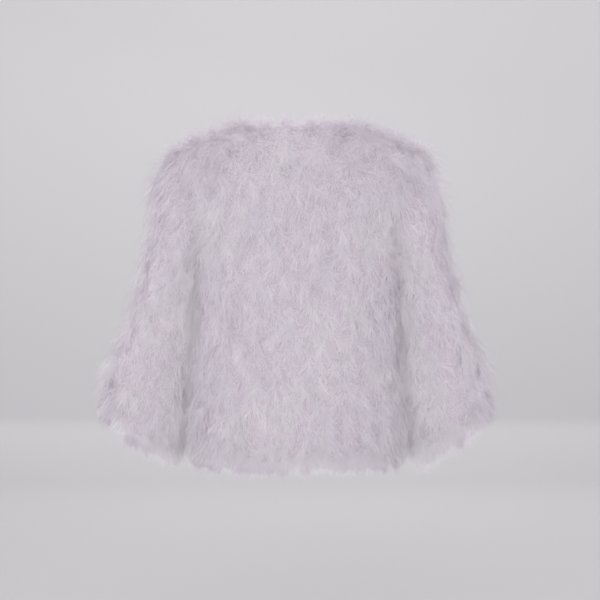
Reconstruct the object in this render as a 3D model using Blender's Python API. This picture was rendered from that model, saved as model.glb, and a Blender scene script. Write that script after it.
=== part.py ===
"""A short, collarless jacket of marabou feathers, in the form it keeps when it is worn.

Metres, +Z up. The wearer faces -Y, so their left arm is at +X. The origin is where the wearer's neck and
shoulders hold the jacket up, midway between the two points where a shoulder seam meets the neckline.

Five cloth panels are thin walls: a back, two fronts that meet edge to edge, and two bell sleeves.
On each lies its own layer of feathers, built from the panel's points moved out, with its plumes raised
in the outer points. The feathers hang past the hem and cuffs and stand up round the neck.
A sleeve's feathers are in two lengths, one round the cap and one below it.
"""

import math
from collections import namedtuple

import bmesh
import bpy
import numpy as np

# Cloth, seams and feathers
CLOTH_WALL = 0.002
SEAM_GAP = 0.0008  # between neighbouring panels
LAYER_GAP = 0.0004  # between a panel and the feathers on it
PILE = 0.034  # how far the feathers stand off the cloth
LEAST_PILE = 0.003  # where an arm presses them flat
SHELTERED_SHARE = 0.42  # of the room between sleeve and body that each layer there may fill
PLUME_WIDTH = 0.062
PLUME_LENGTH = 0.066
PLUME_RELIEF = 0.5  # share of the pile that parts one plume from the next
PLUME_HALF_WIDTH = 0.66  # of one plume's bulge, in plume widths, so that neighbours overlap
PLUME_HALF_LENGTH = 0.8
ROW_SHIFT = 0.22  # how far rows and single plumes stray from an even lattice, in plumes
STRAY_SIDEWAYS = 0.16
STRAY_DOWN = 0.18
PLUME_MIDDLE = 0.62  # where along its length a plume is fullest
TIP_RAGGED = 0.1  # share of an overhang that comes and goes from plume to plume
SEAM_PLUME = 0.8  # height, in plumes, at which neighbouring layers meet
HEM_OVERHANG = 0.042  # feather tips past the cloth's edge
CUFF_OVERHANG = 0.036
NECK_OVERHANG = 0.026
SHOULDER_CREST = 0.34  # share by which the pile is fuller along the shoulders
TIP_PILE = 0.74  # share of the pile that is left at the tips

# Neck and armhole
NECK_HALF_WIDTH = 0.088
BACK_NECK = (0.070, -0.012)  # depth and height at the centre
FRONT_NECK = (0.082, -0.085)
ARMHOLE_CENTRE = (0.183, 0.0, -0.130)
ARMHOLE_HALF_HEIGHT = 0.090
ARMHOLE_HALF_DEPTH = 0.062
ARMHOLE_LEAN = 0.017  # the shoulder tip stands out past the underarm by twice this
ARMHOLE_SCOOP = 0.011

# Grid of each panel in fine steps; the cloth takes every second point
STEPS_BELOW_ARM = 18
STEPS_ROUND_ARM = 16  # half an armhole, the same steps as half a sleeve ring
TORSO_STEPS = STEPS_BELOW_ARM + STEPS_ROUND_ARM
HALF_BACK_STEPS = 18
NECK_SHARE = 8 / 18  # of the half back's steps, from the centre to the shoulder-neck point
FRONT_EDGE = 0.014  # the first step of a front starts this far along, which leaves the opening
CAP_STEPS = 8  # of a sleeve's feathers, in the length round its cap
RING_STEPS = 2 * STEPS_ROUND_ARM

# Sections of the torso, from the hem up. One that ends at the armhole gives the armhole's angle there.
TorsoSection = namedtuple("TorsoSection", "name step depth centre_z edge_x edge_z armhole_deg")
BACK_SECTIONS = (
    TorsoSection("hem", 0, 0.128, -0.526, 0.172, -0.512, None),
    TorsoSection("waist", 6, 0.121, -0.420, 0.167, -0.415, None),
    TorsoSection("bust", 12, 0.117, -0.312, 0.165, -0.314, None),
    TorsoSection("underarm", 18, 0.115, -0.215, None, None, 180.0),
    TorsoSection("blade", 26, 0.110, -0.122, None, None, 90.0),
    TorsoSection("yoke", 30, 0.095, -0.055, None, None, 45.0),
)
FRONT_SECTIONS = (
    TorsoSection("hem", 0, 0.126, -0.526, 0.172, -0.512, None),
    TorsoSection("waist", 6, 0.122, -0.422, 0.167, -0.415, None),
    TorsoSection("bust", 12, 0.126, -0.322, 0.165, -0.314, None),
    TorsoSection("underarm", 18, 0.121, -0.238, None, None, 180.0),
    TorsoSection("chest", 26, 0.106, -0.148, None, None, 90.0),
    TorsoSection("yoke", 30, 0.094, -0.114, None, None, 45.0),
)

# Sections of a sleeve below the armhole, each by its outer and inner point seen from behind
SleeveSection = namedtuple("SleeveSection", "name step outer_x outer_z inner_x inner_z middle_y half_depth")
SLEEVE_SECTIONS = (
    SleeveSection("cap", 3, 0.226, -0.092, 0.181, -0.245, -0.001, 0.064),
    SleeveSection("biceps", 7, 0.239, -0.175, 0.191, -0.290, -0.004, 0.062),
    SleeveSection("elbow", 13, 0.270, -0.300, 0.202, -0.370, -0.009, 0.062),
    SleeveSection("forearm", 18, 0.296, -0.385, 0.210, -0.440, -0.013, 0.068),
    SleeveSection("cuff", 22, 0.315, -0.445, 0.215, -0.502, -0.016, 0.076),
)
SLEEVE_STEPS = SLEEVE_SECTIONS[-1].step

# Fading distances, in steps
EDGE_BLEND_STEPS = 5
TIP_BLEND_STEPS = 4

# Shares of a half panel, from its centre line, at which its edges begin to be felt
SHELTER_FROM = 0.45
ARMHOLE_FROM = 0.72
SEAM_FROM = 0.75
NECK_TURN_FROM = 0.6  # of the neck's share
FACING_BODY_FROM = 0.35  # cosine round the sleeve, from which it is sheltered by the body

LILAC_FEATHER = (0.60, 0.53, 0.62)
LILAC_CLOTH = (0.52, 0.45, 0.55)


def smooth(t):
    """0 to 1 with level ends."""
    t = np.clip(t, 0.0, 1.0)
    return t * t * (3 - 2 * t)


def unit(vectors):
    return vectors / np.linalg.norm(vectors, axis=-1, keepdims=True)


def armhole(angle):
    """Point of the armhole seam: 0 is the shoulder tip, a quarter turn the back, half a turn the underarm."""
    x0, y0, z0 = ARMHOLE_CENTRE
    return np.stack(
        [
            x0 + ARMHOLE_LEAN * np.cos(angle) - ARMHOLE_SCOOP * np.sin(angle) ** 2,
            y0 + ARMHOLE_HALF_DEPTH * np.sin(angle),
            z0 + ARMHOLE_HALF_HEIGHT * np.cos(angle),
        ],
        axis=-1,
    )


def armhole_outward(angle):
    """The way the feathers stand at the armhole seam: away from its middle, and out at the shoulder."""
    shoulder = np.maximum(np.cos(angle), 0.0)
    return unit(np.stack([0.5 * shoulder, np.sin(angle), np.cos(angle)], axis=-1))


def armhole_pile(angle):
    """Full at the shoulder, and pressed flat under the arm."""
    openness = (0.5 + 0.5 * np.cos(angle)) ** 0.7
    return LEAST_PILE + (PILE * (1 + SHOULDER_CREST * openness**4) - LEAST_PILE) * openness


def sheltered_pile(z):
    """The pile between sleeve and body at height z, from the room that the two leave there."""
    body = [(s.edge_z, s.edge_x) for s in BACK_SECTIONS if s.edge_x] + [tuple(armhole(math.pi)[[2, 0]])]
    sleeve = [tuple(armhole(math.pi)[[2, 0]])] + [(s.inner_z, s.inner_x) for s in SLEEVE_SECTIONS]
    body_z, body_x = zip(*sorted(body))
    sleeve_z, sleeve_x = zip(*sorted(sleeve))
    room = np.interp(z, sleeve_z, sleeve_x) - np.interp(z, body_z, body_x)
    return np.maximum(SHELTERED_SHARE * room - LAYER_GAP, LEAST_PILE)


def spline(steps, sections, before, after):
    """Cubic through sections[k] at steps[k], read at whole steps; before and after set the end slopes."""
    known = np.concatenate([[before], sections, [after]])
    at = np.concatenate([[2 * steps[0] - steps[1]], steps, [2 * steps[-1] - steps[-2]]]).astype(float)
    slope = (known[2:] - known[:-2]) / (at[2:] - at[:-2])[:, None, None]
    rows = []
    for step in range(steps[0], steps[-1] + 1):
        k = min(np.searchsorted(steps, step, side="right") - 1, len(steps) - 2)
        span = steps[k + 1] - steps[k]
        t = (step - steps[k]) / span
        rows.append(
            (2 * t**3 - 3 * t**2 + 1) * sections[k]
            + (t**3 - 2 * t**2 + t) * span * slope[k]
            + (3 * t**2 - 2 * t**3) * sections[k + 1]
            + (t**3 - t**2) * span * slope[k + 1]
        )
    return np.array(rows)


def torso_section(section, u, side):
    """From the centre line, u = 0, to the side seam or armhole, u = 1. side is 1 behind and -1 in front."""
    if section.armhole_deg is None:
        edge = np.array([section.edge_x, 0.0, section.edge_z])
    else:
        edge = armhole(side * math.radians(section.armhole_deg))
    turn = math.acos(abs(edge[1]) / section.depth)
    x = edge[0] * np.sin(u * turn) / math.sin(turn)
    y = side * section.depth * np.cos(u * turn)
    z = section.centre_z + (edge[2] - section.centre_z) * u**2
    return np.stack([x, y, z], axis=-1)


def torso_top(neck, u, side):
    """The top edge: round the neck to the shoulder-neck point, then straight on to the shoulder tip."""
    depth, height = neck
    tip = armhole(0.0)
    turn = np.clip(np.abs(u) / NECK_SHARE, 0.0, 1.0) * math.pi / 2
    along = np.clip((np.abs(u) - NECK_SHARE) / (1 - NECK_SHARE), 0.0, 1.0)
    x = NECK_HALF_WIDTH * np.sin(turn) + along * (tip[0] - NECK_HALF_WIDTH)
    z = height * np.cos(turn) + along * tip[2]
    return np.stack([np.sign(u) * x, side * depth * np.cos(turn), z], axis=-1)


def torso_surface(sections, neck, other_sections, u, side):
    """The cloth's outer face as points[step, column], from the hem up."""
    steps = [s.step for s in sections] + [TORSO_STEPS]
    through = [torso_section(s, u, side) for s in sections] + [torso_top(neck, u, side)]
    over_shoulder = torso_section(other_sections[-1], u, -side)
    up_the_neck = through[-1] + 0.5 * (through[-1] - through[-2])
    on_shoulder = smooth((np.abs(u) / NECK_SHARE - NECK_TURN_FROM) / (1 - NECK_TURN_FROM))[:, None]
    after = up_the_neck + on_shoulder * (over_shoulder - up_the_neck)
    surface = spline(steps, np.array(through), 2 * through[0] - through[1], after)
    # Its sides lie on the side seam and the armhole
    for column, reach in ((-1, 1.0), (0, -1.0)):
        if abs(u[column]) < 1:
            continue
        wanted = surface[:, column].copy()
        wanted[:, 1] = 0.0
        angle = np.linspace(math.pi, 0.0, STEPS_ROUND_ARM + 1)
        wanted[STEPS_BELOW_ARM:] = armhole(side * angle) * (reach, 1, 1)
        pull = np.clip(u * reach, 0.0, 1.0) ** 4
        surface += (wanted - surface[:, column])[:, None] * pull[None, :, None]
    surface[:, :, 1] += side * SEAM_GAP / 2
    return surface


def sleeve_surface():
    """The left sleeve's outer face as points[step, column], from the armhole down; its ends meet."""
    angle = np.linspace(0.0, 2 * math.pi, RING_STEPS + 1)
    through = [armhole(angle)]
    for s in SLEEVE_SECTIONS:
        outer = np.array([s.outer_x, s.middle_y, s.outer_z])
        inner = np.array([s.inner_x, s.middle_y, s.inner_z])
        across = np.cos(angle)[:, None] * (outer - inner) / 2
        deep = np.sin(angle)[:, None] * np.array([0.0, s.half_depth, 0.0])
        through.append((outer + inner) / 2 + across + deep)
    through = np.array(through)
    steps = [0] + [s.step for s in SLEEVE_SECTIONS]
    before = through[0] - 0.5 * (through[1] - through[0])
    after = through[-1] + 0.5 * (through[-1] - through[-2])
    surface = spline(steps, through, before, after)
    surface[:, :, 0] += SEAM_GAP
    return surface, angle


def plumes(across, along):
    """Height, 0 to 1, of overlapping plumes in staggered rows at the given distances over the panel."""
    highest = np.zeros_like(along)
    row = np.floor(along / PLUME_LENGTH)
    for row_step in (-1, 0, 1):
        this_row = row + row_step
        shift = 0.5 * np.mod(this_row, 2) + ROW_SHIFT * np.sin(2.4 * this_row)
        cell = np.round(across / PLUME_WIDTH - shift)
        for cell_step in (-1, 0, 1):
            this_cell = cell + cell_step
            middle_across = this_cell + shift + STRAY_SIDEWAYS * np.sin(3.1 * this_cell + 1.7 * this_row)
            middle_along = this_row + PLUME_MIDDLE + STRAY_DOWN * np.sin(2.3 * this_cell - 1.1 * this_row)
            sideways = (across / PLUME_WIDTH - middle_across) / PLUME_HALF_WIDTH
            down = (along / PLUME_LENGTH - middle_along) / PLUME_HALF_LENGTH
            bulge = np.maximum(1 - sideways**2, 0.0) * np.maximum(1 - down**2, 0.0)
            highest = np.maximum(highest, bulge)
    return highest


def ragged(across):
    """Share of an overhang that is reached, longest in the middle of each plume."""
    return 1 - TIP_RAGGED * (1 - np.cos(2 * math.pi * across / PLUME_WIDTH))


def surface_normals(surface, round_tube):
    """Unit normals of points[step, column]; the caller gives them their sense."""
    along = np.gradient(surface, axis=0)
    if round_tube:
        ring = surface[:, :-1]
        across = np.roll(ring, -1, axis=1) - np.roll(ring, 1, axis=1)
        across = np.concatenate([across, across[:, :1]], axis=1)
    else:
        across = np.gradient(surface, axis=1)
    return unit(np.cross(along, across))


def torso_feathers(surface, u, side):
    """Outer face and normals of the feathers on a torso panel."""
    normal = side * surface_normals(surface, False)
    step = np.arange(TORSO_STEPS + 1)[:, None]
    angle = math.pi * np.clip((TORSO_STEPS - step) / STEPS_ROUND_ARM, 0.0, 1.0)
    reach = np.abs(u)[None, :]
    # Along side and shoulder seams the back and the fronts stand the same way
    on_seam = ((reach == 1) & (step <= STEPS_BELOW_ARM)) | ((reach >= NECK_SHARE) & (step == TORSO_STEPS))
    normal[..., 1] = np.where(on_seam, 0.0, normal[..., 1])
    normal = unit(normal)
    # At the armhole the feathers stand as the sleeve's do
    mirrored = np.stack([np.sign(u), np.ones_like(u), np.ones_like(u)], axis=-1)
    at_seam = armhole_outward(side * angle) * mirrored
    near_seam = smooth((reach - ARMHOLE_FROM) / (1 - ARMHOLE_FROM)) * (step >= STEPS_BELOW_ARM)
    normal = unit(normal + near_seam[..., None] * (at_seam - normal))
    # Round the neck they turn upwards, to meet the shoulder's
    at_top = smooth(1 - (TORSO_STEPS - step) / TIP_BLEND_STEPS)
    towards_shoulder = smooth(reach / NECK_SHARE) * (reach < NECK_SHARE)
    normal = unit(normal + (at_top * towards_shoulder)[..., None] * (np.array([0.0, 0.0, 1.0]) - normal))
    beside_arm = sheltered_pile(surface[:, -1, 2])[:, None]
    edge_pile = np.where(step < STEPS_BELOW_ARM, beside_arm, armhole_pile(angle))
    open_pile = PILE * (1 + SHOULDER_CREST * smooth((step - STEPS_BELOW_ARM) / STEPS_ROUND_ARM) ** 2)
    pile = open_pile + smooth((reach - SHELTER_FROM) / (1 - SHELTER_FROM)) * (edge_pile - open_pile)
    girth = np.cumsum(np.linalg.norm(np.diff(surface, axis=1, prepend=surface[:, :1]), axis=2), axis=1)
    across = girth - girth[:, np.argmin(np.abs(u))][:, None]
    length = np.cumsum(np.linalg.norm(np.diff(surface, axis=0, prepend=surface[:1]), axis=2), axis=0)
    raised = plumes(across, length[-1] - length)
    by_side = smooth((reach - SEAM_FROM) / (1 - SEAM_FROM))
    by_seam = np.maximum(by_side, at_top * smooth(2 * reach / NECK_SHARE - 1))
    raised = raised + by_seam * (SEAM_PLUME - raised)
    pile = pile * (1 - PLUME_RELIEF * (1 - raised))
    # Tips past the hem, ragged where one plume ends and the next begins
    at_hem = smooth(1 - step / TIP_BLEND_STEPS)
    downward = -unit(np.gradient(surface, axis=0))
    hang = at_hem * HEM_OVERHANG * ragged(across)
    # Tips round the neck stand up past its edge and die out at the shoulder-neck point
    at_neck = at_top * np.clip(1 - (reach / NECK_SHARE) ** 2, 0.0, 1.0)
    pile = pile * (1 - (1 - TIP_PILE) * np.maximum(at_hem, at_neck))
    rise = at_neck * NECK_OVERHANG
    return surface + normal * pile[..., None] + downward * (hang - rise)[..., None], normal


def sleeve_feathers(surface, angle):
    """Outer face and normals of the feathers on a sleeve."""
    normal = surface_normals(surface, True)
    step = np.arange(SLEEVE_STEPS + 1)[:, None]
    at_seam = smooth(1 - step / EDGE_BLEND_STEPS)
    seam_normal = armhole_outward(angle)[None]
    normal = unit(normal + at_seam[..., None] * (seam_normal - normal))
    facing_body = smooth((FACING_BODY_FROM - np.cos(angle)) / (1 + FACING_BODY_FROM))[None, :]
    pile = PILE + facing_body * (sheltered_pile(surface[:, :, 2]) - PILE)
    pile = pile + at_seam * (armhole_pile(angle)[None] - pile)
    ring_length = np.linalg.norm(np.diff(surface, axis=1), axis=2).sum(axis=1)
    plumes_round = max(1, round(ring_length.mean() / PLUME_WIDTH))
    across = angle[None, :] / (2 * math.pi) * plumes_round * PLUME_WIDTH * np.ones_like(step)
    length = np.cumsum(np.linalg.norm(np.diff(surface, axis=0, prepend=surface[:1]), axis=2), axis=0)
    raised = plumes(across, length.mean(axis=1, keepdims=True) * np.ones_like(across))
    raised[:, -1] = raised[:, 0]
    raised = raised + at_seam * (SEAM_PLUME - raised)
    pile = pile * (1 - PLUME_RELIEF * (1 - raised))
    at_cuff = smooth(1 - (SLEEVE_STEPS - step) / TIP_BLEND_STEPS)
    pile = pile * (1 - (1 - TIP_PILE) * at_cuff)
    onward = unit(np.gradient(surface, axis=0))
    hang = at_cuff * CUFF_OVERHANG * ragged(across)
    return surface + normal * pile[..., None] + onward * hang[..., None], normal


def lay_grid(mesh, points):
    """A sheet of quads through points[row, column]; returns its corners in the same order."""
    rows, columns = points.shape[:2]
    made = bmesh.ops.create_grid(mesh, x_segments=columns - 1, y_segments=rows - 1, size=1.0)
    for vert, point in zip(made["verts"], points.reshape(-1, 3)):
        vert.co = point
    return np.array(made["verts"], dtype=object).reshape(rows, columns)


def stitch(mesh, outer, inner):
    """Faces between two edges side by side; the outer one has as many steps as the inner, or twice."""
    for k in range(len(inner) - 1):
        a, b = inner[k], inner[k + 1]
        if len(outer) == len(inner):
            mesh.faces.new((outer[k], outer[k + 1], b, a))
            continue
        start, middle, end = outer[2 * k], outer[2 * k + 1], outer[2 * k + 2]
        mesh.faces.new((start, middle, a))
        mesh.faces.new((middle, b, a))
        mesh.faces.new((middle, end, b))


def closed_layer(name, outer, inner, round_tube):
    """A closed solid between two faces, stitched round their edges; a tube has only its two ends."""
    mesh = bmesh.new()
    outside, inside = lay_grid(mesh, outer), lay_grid(mesh, inner)
    stitch(mesh, outside[0], inside[0])
    stitch(mesh, outside[-1], inside[-1])
    if not round_tube:
        stitch(mesh, outside[:, 0], inside[:, 0])
        stitch(mesh, outside[:, -1], inside[:, -1])
    bmesh.ops.remove_doubles(mesh, verts=mesh.verts, dist=1e-6)
    bmesh.ops.recalc_face_normals(mesh, faces=mesh.faces)
    data = bpy.data.meshes.new(name)
    mesh.to_mesh(data)
    mesh.free()
    data.shade_smooth()
    return data


def colour(name, base, roughness):
    material = bpy.data.materials.new(name)
    material.use_nodes = True
    shader = material.node_tree.nodes["Principled BSDF"]
    shader.inputs["Base Color"].default_value = (*base, 1.0)
    shader.inputs["Roughness"].default_value = roughness
    shader.inputs["Metallic"].default_value = 0.0
    return material


Place = namedtuple("Place", "collection hold cloth_colour feather_colour")


def add_solid(name, outer, inner, round_tube, material, place):
    data = closed_layer(name, outer, inner, round_tube)
    data.materials.append(material)
    part = bpy.data.objects.new(name, data)
    part.parent = place.hold
    place.collection.objects.link(part)


def parted(rows):
    """The same rows with the first moved on by a seam's gap, clear of what ends there."""
    onward = unit(rows[1] - rows[0])
    return np.concatenate([[rows[0] + onward * SEAM_GAP], rows[1:]])


def add_panel(name, surface, feathers, normal, round_tube, place):
    """A cloth panel, as a wall that grows inwards from its outer face, and the layer of feathers on it."""
    cloth, outward = surface[::2, ::2], normal[::2, ::2]
    add_solid(name, cloth, cloth - outward * CLOTH_WALL, round_tube, place.cloth_colour, place)
    under = cloth + outward * LAYER_GAP
    if not round_tube:
        add_solid(name + "_feathers", feathers, under, False, place.feather_colour, place)
        return
    cap, cap_under = feathers[: CAP_STEPS + 1], under[: CAP_STEPS // 2 + 1]
    add_solid(name + "_cap_feathers", cap, cap_under, True, place.feather_colour, place)
    below, below_under = parted(feathers[CAP_STEPS:]), parted(under[CAP_STEPS // 2 :])
    add_solid(name + "_feathers", below, below_under, True, place.feather_colour, place)


def main():
    for old in list(bpy.data.objects):
        bpy.data.objects.remove(old)
    collection = bpy.data.collections.new("feather_jacket")
    bpy.context.scene.collection.children.link(collection)
    hold = bpy.data.objects.new("wearer_hold", None)
    collection.objects.link(hold)
    cloth_colour = colour("cloth", LILAC_CLOTH, 0.8)
    feather_colour = colour("feathers", LILAC_FEATHER, 0.9)
    place = Place(collection, hold, cloth_colour, feather_colour)
    mirror = np.array([-1.0, 1.0, 1.0])

    u = np.arange(-HALF_BACK_STEPS, HALF_BACK_STEPS + 1) / HALF_BACK_STEPS
    back = torso_surface(BACK_SECTIONS, BACK_NECK, FRONT_SECTIONS, u, 1)
    feathers, normal = torso_feathers(back, u, 1)
    add_panel("back", back, feathers, normal, False, place)

    u = np.arange(HALF_BACK_STEPS + 1) / HALF_BACK_STEPS
    u[0] = FRONT_EDGE
    front = torso_surface(FRONT_SECTIONS, FRONT_NECK, BACK_SECTIONS, u, -1)
    feathers, normal = torso_feathers(front, u, -1)
    add_panel("front_left", front, feathers, normal, False, place)
    add_panel("front_right", front * mirror, feathers * mirror, normal * mirror, False, place)

    sleeve, angle = sleeve_surface()
    feathers, normal = sleeve_feathers(sleeve, angle)
    add_panel("sleeve_left", sleeve, feathers, normal, True, place)
    add_panel("sleeve_right", sleeve * mirror, feathers * mirror, normal * mirror, True, place)


main()
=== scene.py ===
import math

import bpy
import numpy as np
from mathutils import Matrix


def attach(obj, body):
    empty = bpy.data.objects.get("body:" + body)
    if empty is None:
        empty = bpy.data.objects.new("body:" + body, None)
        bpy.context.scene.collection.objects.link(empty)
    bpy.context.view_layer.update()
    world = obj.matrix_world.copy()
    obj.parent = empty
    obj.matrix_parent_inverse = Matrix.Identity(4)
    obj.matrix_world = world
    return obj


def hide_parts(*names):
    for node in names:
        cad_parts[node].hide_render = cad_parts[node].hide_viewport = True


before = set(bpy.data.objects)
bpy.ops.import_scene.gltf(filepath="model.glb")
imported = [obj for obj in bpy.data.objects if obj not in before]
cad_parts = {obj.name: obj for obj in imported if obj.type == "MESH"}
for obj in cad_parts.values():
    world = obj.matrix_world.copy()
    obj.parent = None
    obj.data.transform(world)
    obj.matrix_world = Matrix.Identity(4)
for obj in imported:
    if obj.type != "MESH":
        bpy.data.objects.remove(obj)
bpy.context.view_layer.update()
print("frame loaded")

smallest = 1e-4  # metres; nothing is divided by a smaller pile or spacing
zeroGuard = 1e-12  # and no vector by a shorter length

# Neckline, shoulders and armholes, in metres, as the solids have them
body = {
    "neckHalfWidth": 0.088,
    "neckShare": 8 / 18,  # of the half back, from its centre to the shoulder seam
    "armholeMiddle": (0.183, 0.0, -0.130),
    "armholeHalfHeight": 0.090,
    "armholeHalfDepth": 0.062,
    "armholeLean": 0.017,
    "armholeScoop": 0.011,
    "shoulderOut": 0.5,  # how far the feathers lean to the side over the shoulder
    "stepsBelowArm": 18,
    "stepsRoundArm": 16,
    "halfBackSteps": 18,
    "capSteps": 5,  # over which a sleeve's pile takes over from the armhole's
    "seamGap": 0.0008,
    "seamFrom": 0.72,  # share of the half back past which normals turn to the armhole's way
    "seamPull": 4,  # power by which the pull onto the armhole fades inwards
    "shoulderFrom": 0.6,  # shares of the neck's columns past which the top bends over the shoulder
    "fringeEnd": 0.8,  # and past which the neck's fringe fades out
}
bodySteps = body["stepsBelowArm"] + body["stepsRoundArm"]

# step, depth, centre z, edge x, edge z, armhole angle; an edge on the armhole has its angle and no place
backCut = {
    "sections": (
        (0, 0.128, -0.526, 0.172, -0.512, None),  # hem
        (6, 0.121, -0.420, 0.167, -0.415, None),  # waist
        (12, 0.117, -0.312, 0.165, -0.314, None),  # bust
        (18, 0.115, -0.215, None, None, 180.0),  # underarm
        (26, 0.110, -0.122, None, None, 90.0),  # shoulder blades
        (30, 0.095, -0.055, None, None, 45.0),  # yoke
    ),
    "neckDepth": 0.070,
    "neckZ": -0.012,
    "flat": (0.50, 0.55),  # cut on the fold
    "flatArea": 0.232,
}
frontCut = {
    "sections": (
        (0, 0.126, -0.526, 0.172, -0.512, None),
        (6, 0.122, -0.422, 0.167, -0.415, None),
        (12, 0.126, -0.322, 0.165, -0.314, None),
        (18, 0.121, -0.238, None, None, 180.0),
        (26, 0.106, -0.148, None, None, 90.0),
        (30, 0.094, -0.114, None, None, 45.0),
    ),
    "neckDepth": 0.082,
    "neckZ": -0.085,
    "edgeShare": 0.014,  # the fronts stop this far short of the centre line
    "flat": (0.25, 0.55),
    "flatArea": 0.107,
}
# step, outer x, outer z, inner x, inner z, middle y, half depth
sleeveCut = {
    "sections": (
        (3, 0.226, -0.092, 0.181, -0.245, -0.001, 0.064),  # cap
        (7, 0.239, -0.175, 0.191, -0.290, -0.004, 0.062),  # biceps
        (13, 0.270, -0.300, 0.202, -0.370, -0.009, 0.062),  # elbow
        (18, 0.296, -0.385, 0.210, -0.440, -0.013, 0.068),  # forearm
        (22, 0.315, -0.445, 0.215, -0.502, -0.016, 0.076),  # cuff
    ),
    "flat": (0.42, 0.43),
    "flatArea": 0.124,
}

# How the feathers stand off the cloth
nap = {
    "pile": 0.034,
    "leastPile": 0.003,  # where an arm presses them flat
    "shelteredShare": 0.95,  # each side reaches nearly across, so the two mingle
    "openPower": 0.7,  # how soon the pile opens out from the underarm
    "shoulderCrest": 0.34,
    "crestPower": 4,
    "shelterFrom": 0.72,  # share of the half back from which the sleeve shelters it
    "facingFrom": 0.3,  # cosine, from straight inwards, within which a sleeve faces the body
    "grooveFrom": 0.4,  # half turns round the armhole past which the body faces the sleeve, and over how many
    "grooveOver": 0.5,
    "turnOut": (1.2, 2.2),  # how far plumes in the groove turn to the open side, on body and sleeve
    "turnWithin": 0.6,  # cosine by which a sleeve's plumes have turned in full
    "groovePile": (0.040, 0.052),
    "cuffFlare": 0.5,  # share by which the plumes are longer on the outer side of the cuff
    "flareFrom": 12,  # sleeve steps, and over how many
    "flareOver": 10,
    "flaredHang": 0.6,  # share by which they hang less there
}


def smooth(t):  # 0 to 1 with level ends: 3t^2 - 2t^3
    t = np.clip(t, 0.0, 1.0)
    return t * t * (3 - 2 * t)


def past(value, start):  # smooth step from the start up to 1
    return smooth((value - start) / (1 - start))


def unit(v):  # each vector over its length
    return v / np.maximum(np.linalg.norm(v, axis=-1, keepdims=True), zeroGuard)


def armhole(angle):
    # a tall ellipse that leans out at the shoulder tip (angle 0) and is scooped in front and behind
    x0, y0, z0 = body["armholeMiddle"]
    x = x0 + body["armholeLean"] * np.cos(angle) - body["armholeScoop"] * np.sin(angle) ** 2
    y = y0 + body["armholeHalfDepth"] * np.sin(angle)
    return np.stack([x, y, z0 + body["armholeHalfHeight"] * np.cos(angle)], axis=-1)


def armholeOutward(angle):
    # away from the armhole's middle, and outwards over the shoulder
    out = body["shoulderOut"] * np.maximum(np.cos(angle), 0.0)
    return unit(np.stack([out, np.sin(angle), np.cos(angle)], axis=-1))


def armholePile(angle):
    # from the least pile at the underarm up to a crest on the shoulder, by how open the angle is
    openness = (0.5 + 0.5 * np.cos(angle)) ** nap["openPower"]
    crest = nap["pile"] * (1 + nap["shoulderCrest"] * openness ** nap["crestPower"])
    return nap["leastPile"] + (crest - nap["leastPile"]) * openness


def shelteredPile(z):
    # a share of the room between the sleeve's inner edge and the side seam at height z
    underarm = armhole(math.pi)
    sides = sorted([(s[4], s[3]) for s in backCut["sections"] if s[3]] + [(underarm[2], underarm[0])])
    inners = sorted([(s[4], s[3]) for s in sleeveCut["sections"]] + [(underarm[2], underarm[0])])
    room = np.interp(z, *zip(*inners)) - np.interp(z, *zip(*sides))
    return np.maximum(nap["shelteredShare"] * room, nap["leastPile"])


def spline(steps, sections, before, after, at):
    # cubic Hermite through the sections, each slope taken from its two neighbours
    steps = np.array(steps, float)
    known = np.concatenate([[before], sections, [after]])
    knots = np.concatenate([[2 * steps[0] - steps[1]], steps, [2 * steps[-1] - steps[-2]]])
    slope = (known[2:] - known[:-2]) / (knots[2:] - knots[:-2])[:, None, None]
    k = np.clip(np.searchsorted(steps, at, side="right") - 1, 0, len(steps) - 2)
    span = (steps[k + 1] - steps[k])[:, None, None]
    t = (at - steps[k])[:, None, None] / span
    start = (2 * t**3 - 3 * t**2 + 1) * sections[k] + (t**3 - 2 * t**2 + t) * span * slope[k]
    end = (3 * t**2 - 2 * t**3) * sections[k + 1] + (t**3 - t**2) * span * slope[k + 1]
    return start + end


def bodySection(section, u, side):
    # part of an ellipse: x as a sine and y as a cosine of the share u of its turn, z as u squared
    _, depth, centreZ, edgeX, edgeZ, degrees = section
    edge = (edgeX, 0.0, edgeZ) if degrees is None else armhole(side * math.radians(degrees))
    turn = math.acos(abs(edge[1]) / depth)
    x = edge[0] * np.sin(u * turn) / math.sin(turn)
    return np.stack([x, side * depth * np.cos(u * turn), centreZ + (edge[2] - centreZ) * u**2], axis=-1)


def bodyTop(cut, u, side):
    # a quarter ellipse round the neck, then a straight shoulder down to its tip
    tip = armhole(0.0)
    turn = np.clip(np.abs(u) / body["neckShare"], 0, 1) * math.pi / 2
    along = np.clip((np.abs(u) - body["neckShare"]) / (1 - body["neckShare"]), 0, 1)
    x = np.sign(u) * (body["neckHalfWidth"] * np.sin(turn) + along * (tip[0] - body["neckHalfWidth"]))
    y = side * cut["neckDepth"] * np.cos(turn)
    return np.stack([x, y, cut["neckZ"] * np.cos(turn) + along * tip[2]], axis=-1)


def gridDistance(points, axis):  # lengths of the steps down or across the grid, summed from its first line
    steps = np.diff(points, axis=axis, prepend=np.take(points, [0], axis))
    return np.cumsum(np.linalg.norm(steps, axis=2), axis=axis)


def gridFrame(points, closed):
    # steps down the rows and across the columns, and the unit normal to both
    down = np.gradient(points, axis=0)
    if closed:
        ring = points[:, :-1]
        across = (np.roll(ring, -1, axis=1) - np.roll(ring, 1, axis=1)) / 2
        across = np.concatenate([across, across[:, :1]], axis=1)
    else:
        across = np.gradient(points, axis=1)
    return down, across, unit(np.cross(down, across))


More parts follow.
